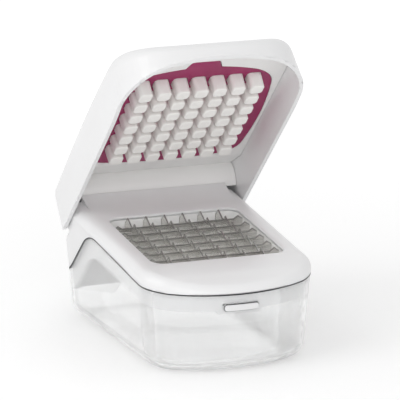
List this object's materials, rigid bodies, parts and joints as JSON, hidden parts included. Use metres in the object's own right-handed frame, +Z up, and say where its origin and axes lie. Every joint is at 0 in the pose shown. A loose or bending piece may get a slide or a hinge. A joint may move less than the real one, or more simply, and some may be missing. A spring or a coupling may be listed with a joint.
{
  "type": "vegetable chopper",
  "caption": "Hand lever vegetable chopper, open: clear container, slanted cutting frame with a toothed blade grid, and a hinged lid with pusher pins and a pull-off cleaning grid.",
  "frame": {"origin": "Centre of the container's flat base, on the surface that it stands on.", "axes": "+Z is up, -Y is the front with the catch, +X is to the right seen from the front."},
  "size_m": [0.1254, 0.1906, 0.2047],
  "materials": {
    "clear_plastic": "clear polished copolyester",
    "white_plastic": "glossy white moulded plastic",
    "pin_plastic": "satin off-white moulded plastic",
    "magenta_plastic": "satin magenta moulded plastic",
    "blade_steel": "brushed stainless sheet with ground edges",
    "bright_steel": "turned stainless"
  },
  "bodies": {
    "base": {"container": "clear_plastic"},
    "frame": {"cutting_frame": "white_plastic", "blade_holder": "white_plastic", "blade_retainer": "white_plastic", "retainer_screws": "bright_steel", "front_catch": "white_plastic", "long_blade_1": "blade_steel", "cross_blade_1": "blade_steel", "long_blade_2": "blade_steel", "cross_blade_2": "blade_steel", "long_blade_3": "blade_steel", "cross_blade_3": "blade_steel", "long_blade_4": "blade_steel", "cross_blade_4": "blade_steel", "long_blade_5": "blade_steel", "cross_blade_5": "blade_steel", "long_blade_6": "blade_steel", "cross_blade_6": "blade_steel"},
    "lid": {"lid_shell": "white_plastic", "lid_liner": "white_plastic", "pusher": "pin_plastic", "cleaning_grid": "magenta_plastic", "hinge_pin_left": "bright_steel", "hinge_pin_right": "bright_steel"}
  },
  "joints": [
    {"name": "frame_lift", "type": "slide", "parent": "base", "child": "frame", "axis": [0, 0, 1], "range_m": [0, 0.06], "deforming": ["front_catch"]},
    {"name": "lid_hinge", "type": "hinge", "parent": "frame", "child": "lid", "pos_m": [0, 0.08247, 0.08348], "axis": [-1, 0, 0], "range_deg": [-49.5, 5]}
  ]
}
